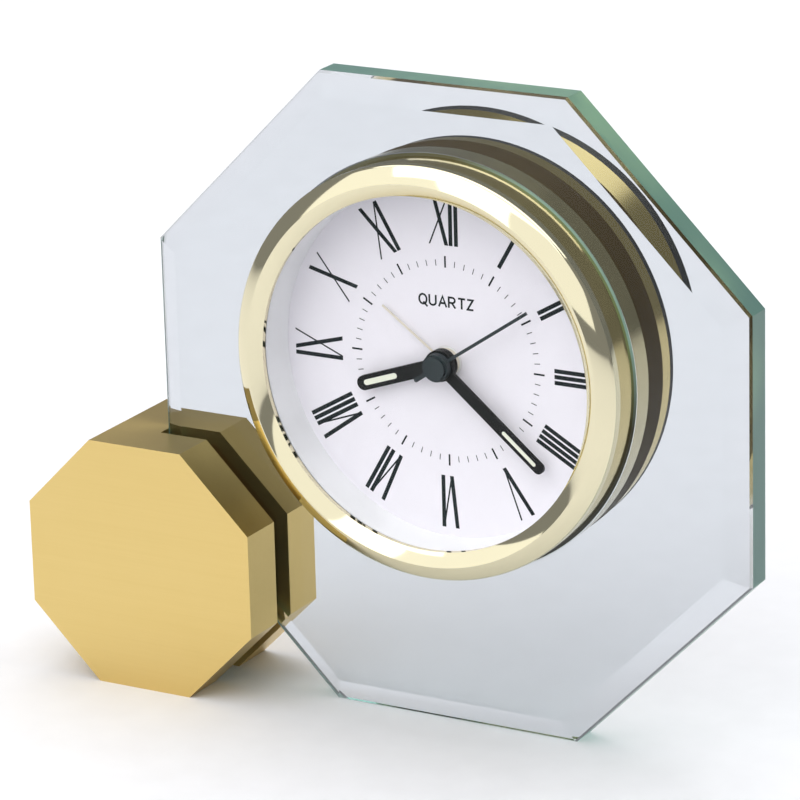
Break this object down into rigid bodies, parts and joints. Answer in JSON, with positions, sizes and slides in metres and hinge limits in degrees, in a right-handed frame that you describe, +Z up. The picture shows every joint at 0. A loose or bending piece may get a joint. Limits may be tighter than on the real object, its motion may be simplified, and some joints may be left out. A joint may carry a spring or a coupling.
{
  "type": "desk alarm clock",
  "caption": "Desk alarm clock: round quartz insert in a bevelled glass octagon that stands in a slotted metal octagon block, with turning hands, setting knobs, alarm switch and battery door.",
  "frame": {"origin": "on the table, under the middle of the clock's overall width and depth", "axes": "+X to the viewer's right, +Y to the back of the clock, +Z up; the dial faces -Y"},
  "size_m": [0.1679, 0.0352, 0.14],
  "materials": {
    "clear_glass": "polished",
    "brushed_brass": "brushed",
    "polished_brass": "polished",
    "satin_brass": "satin",
    "bond_film": "clear",
    "clear_sealant": "satin",
    "brown_rubber": "matt",
    "lens_glass": "polished",
    "white_plastic": "satin",
    "dial_white": "satin",
    "natural_plastic": "satin",
    "dark_plastic": "textured",
    "screw_steel": "satin",
    "nickel_strip": "satin",
    "cell_jacket": "gloss",
    "board_green": "satin",
    "crystal_can": "satin",
    "black_epoxy": "matt",
    "copper_wire": "enamelled",
    "core_iron": "satin",
    "magnet": "matt",
    "arbor_brass": "satin",
    "hand_black": "satin",
    "hand_slate": "satin",
    "hand_gold": "satin",
    "lume": "matt"
  },
  "bodies": {
    "stand": {"glass_plate": "clear_glass", "slotted_block": "brushed_brass", "slot_bond": "bond_film", "insert_drum": "satin_brass", "drum_gasket": "clear_sealant", "retaining_band": "brown_rubber", "bezel": "polished_brass", "lens": "lens_glass", "chapter_ring_wall": "white_plastic", "dial": "dial_white", "movement_holder": "natural_plastic", "rear_cover": "dark_plastic", "cover_screws": "screw_steel", "battery": "cell_jacket", "contact_plus": "nickel_strip", "contact_minus": "nickel_strip", "case_front": "white_plastic", "case_rear": "white_plastic", "case_screws": "screw_steel", "train_bridge": "natural_plastic", "circuit_board": "board_green", "quartz_crystal": "crystal_can", "chip_cap": "black_epoxy", "buzzer": "black_epoxy", "coil": "copper_wire", "coil_core": "core_iron", "stator": "core_iron", "alarm_contact": "nickel_strip"},
    "minute_work": {"centre_wheel": "natural_plastic", "minute_arbor": "arbor_brass", "minute_hand": "hand_black", "minute_lume": "lume"},
    "hour_work": {"hour_wheel": "natural_plastic", "hour_hand": "hand_black", "hour_lume": "lume"},
    "second_work": {"second_wheel": "natural_plastic", "second_hand": "hand_slate"},
    "third_work": {"third_wheel": "natural_plastic"},
    "step_work": {"step_wheel": "natural_plastic"},
    "rotor_work": {"rotor": "natural_plastic", "rotor_magnet": "magnet"},
    "motion_work": {"minute_wheel": "natural_plastic"},
    "time_setter": {"time_shaft": "natural_plastic", "time_knob": "dark_plastic"},
    "alarm_work": {"alarm_wheel": "natural_plastic", "alarm_hand": "hand_gold"},
    "idler_work": {"alarm_idler": "natural_plastic"},
    "alarm_setter": {"alarm_shaft": "natural_plastic", "alarm_knob": "dark_plastic"},
    "alarm_slider": {"alarm_switch": "dark_plastic"},
    "door": {"battery_door": "dark_plastic"}
  },
  "joints": [
    {"name": "minute_turn", "type": "hinge", "parent": "stand", "child": "minute_work", "pos_m": [0.01395, -0.00178, 0.0804], "axis": [0, 1, 0], "continuous": true},
    {"name": "hour_turn", "type": "hinge", "parent": "stand", "child": "hour_work", "pos_m": [0.01395, -0.00178, 0.0804], "axis": [0, 1, 0], "continuous": true},
    {"name": "second_turn", "type": "hinge", "parent": "stand", "child": "second_work", "pos_m": [0.01395, -0.00178, 0.0804], "axis": [0, 1, 0], "continuous": true},
    {"name": "third_turn", "type": "hinge", "parent": "stand", "child": "third_work", "pos_m": [0.00933, -0.00178, 0.09309], "axis": [0, 1, 0], "continuous": true},
    {"name": "step_turn", "type": "hinge", "parent": "stand", "child": "step_work", "pos_m": [0.02382, -0.00178, 0.08399], "axis": [0, 1, 0], "continuous": true},
    {"name": "rotor_turn", "type": "hinge", "parent": "stand", "child": "rotor_work", "pos_m": [0.03161, -0.00178, 0.08849], "axis": [0, 1, 0], "continuous": true},
    {"name": "motion_turn", "type": "hinge", "parent": "stand", "child": "motion_work", "pos_m": [0.00606, -0.00178, 0.07753], "axis": [0, 1, 0], "continuous": true},
    {"name": "time_knob_turn", "type": "hinge", "parent": "stand", "child": "time_setter", "pos_m": [-0.00222, -0.00178, 0.07899], "axis": [0, 1, 0], "continuous": true},
    {"name": "alarm_turn", "type": "hinge", "parent": "stand", "child": "alarm_work", "pos_m": [0.01395, -0.00178, 0.0804], "axis": [0, 1, 0], "continuous": true},
    {"name": "idler_turn", "type": "hinge", "parent": "stand", "child": "idler_work", "pos_m": [0.02499, -0.00178, 0.07402], "axis": [0, 1, 0], "continuous": true},
    {"name": "alarm_knob_turn", "type": "hinge", "parent": "stand", "child": "alarm_setter", "pos_m": [0.03267, -0.00178, 0.07538], "axis": [0, 1, 0], "continuous": true},
    {"name": "alarm_switch_slide", "type": "slide", "parent": "stand", "child": "alarm_slider", "axis": [1, 0, 0], "range_m": [0, 0.003]},
    {"name": "battery_door_lift", "type": "slide", "parent": "stand", "child": "door", "axis": [0, 1, 0], "range_m": [0, 0.02]}
  ],
  "couplings": [
    {"joint": "hour_turn", "follows": "minute_turn", "ratio": 0.083333},
    {"joint": "second_turn", "follows": "minute_turn", "ratio": 60},
    {"joint": "third_turn", "follows": "minute_turn", "ratio": -7.5},
    {"joint": "step_turn", "follows": "minute_turn", "ratio": -360},
    {"joint": "rotor_turn", "follows": "minute_turn", "ratio": 1800},
    {"joint": "motion_turn", "follows": "minute_turn", "ratio": -0.33333},
    {"joint": "time_knob_turn", "follows": "minute_turn", "ratio": 1},
    {"joint": "idler_turn", "follows": "alarm_turn", "ratio": -1.125},
    {"joint": "alarm_knob_turn", "follows": "alarm_turn", "ratio": 3.75}
  ]
}
